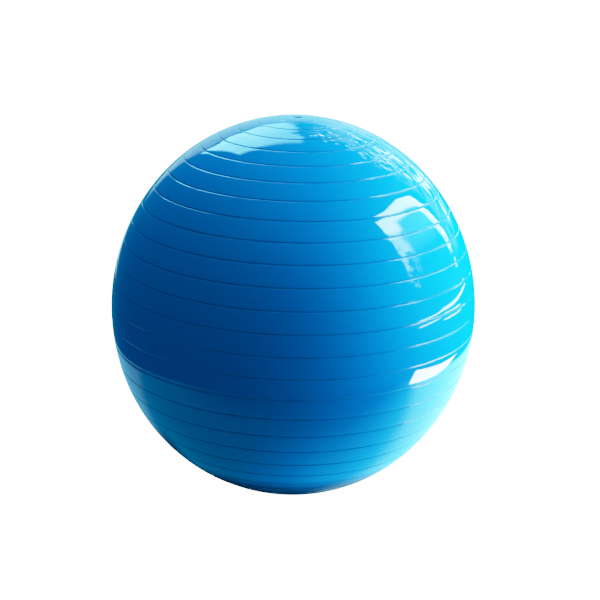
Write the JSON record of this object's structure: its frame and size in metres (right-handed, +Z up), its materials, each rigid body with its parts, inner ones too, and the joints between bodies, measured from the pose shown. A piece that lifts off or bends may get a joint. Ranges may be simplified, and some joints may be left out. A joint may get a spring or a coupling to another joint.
{
  "type": "exercise ball",
  "caption": "Inflatable exercise ball: a hollow glossy vinyl ball, a little taller than wide, with fine grip rings creased round it and a plugged air valve at its top.",
  "frame": {"origin": "centre of the flat patch on which the inflated ball rests on the floor", "axes": "+Z up along the polar axis, which runs through the valve; the ball is round about Z, so X and Y are equivalent"},
  "size_m": [0.62, 0.62, 0.6499],
  "materials": {
    "shell_vinyl": "glossy flexible vinyl",
    "seat_vinyl": "satin flexible vinyl",
    "plug_vinyl": "satin firm vinyl"
  },
  "bodies": {
    "ball": {"ball_shell": "shell_vinyl", "valve_seat": "seat_vinyl"},
    "plug": {"air_plug": "plug_vinyl"}
  },
  "joints": [
    {"name": "plug_pull", "type": "slide", "parent": "ball", "child": "plug", "axis": [0, 0, 1], "range_m": [0, 0.06]}
  ]
}
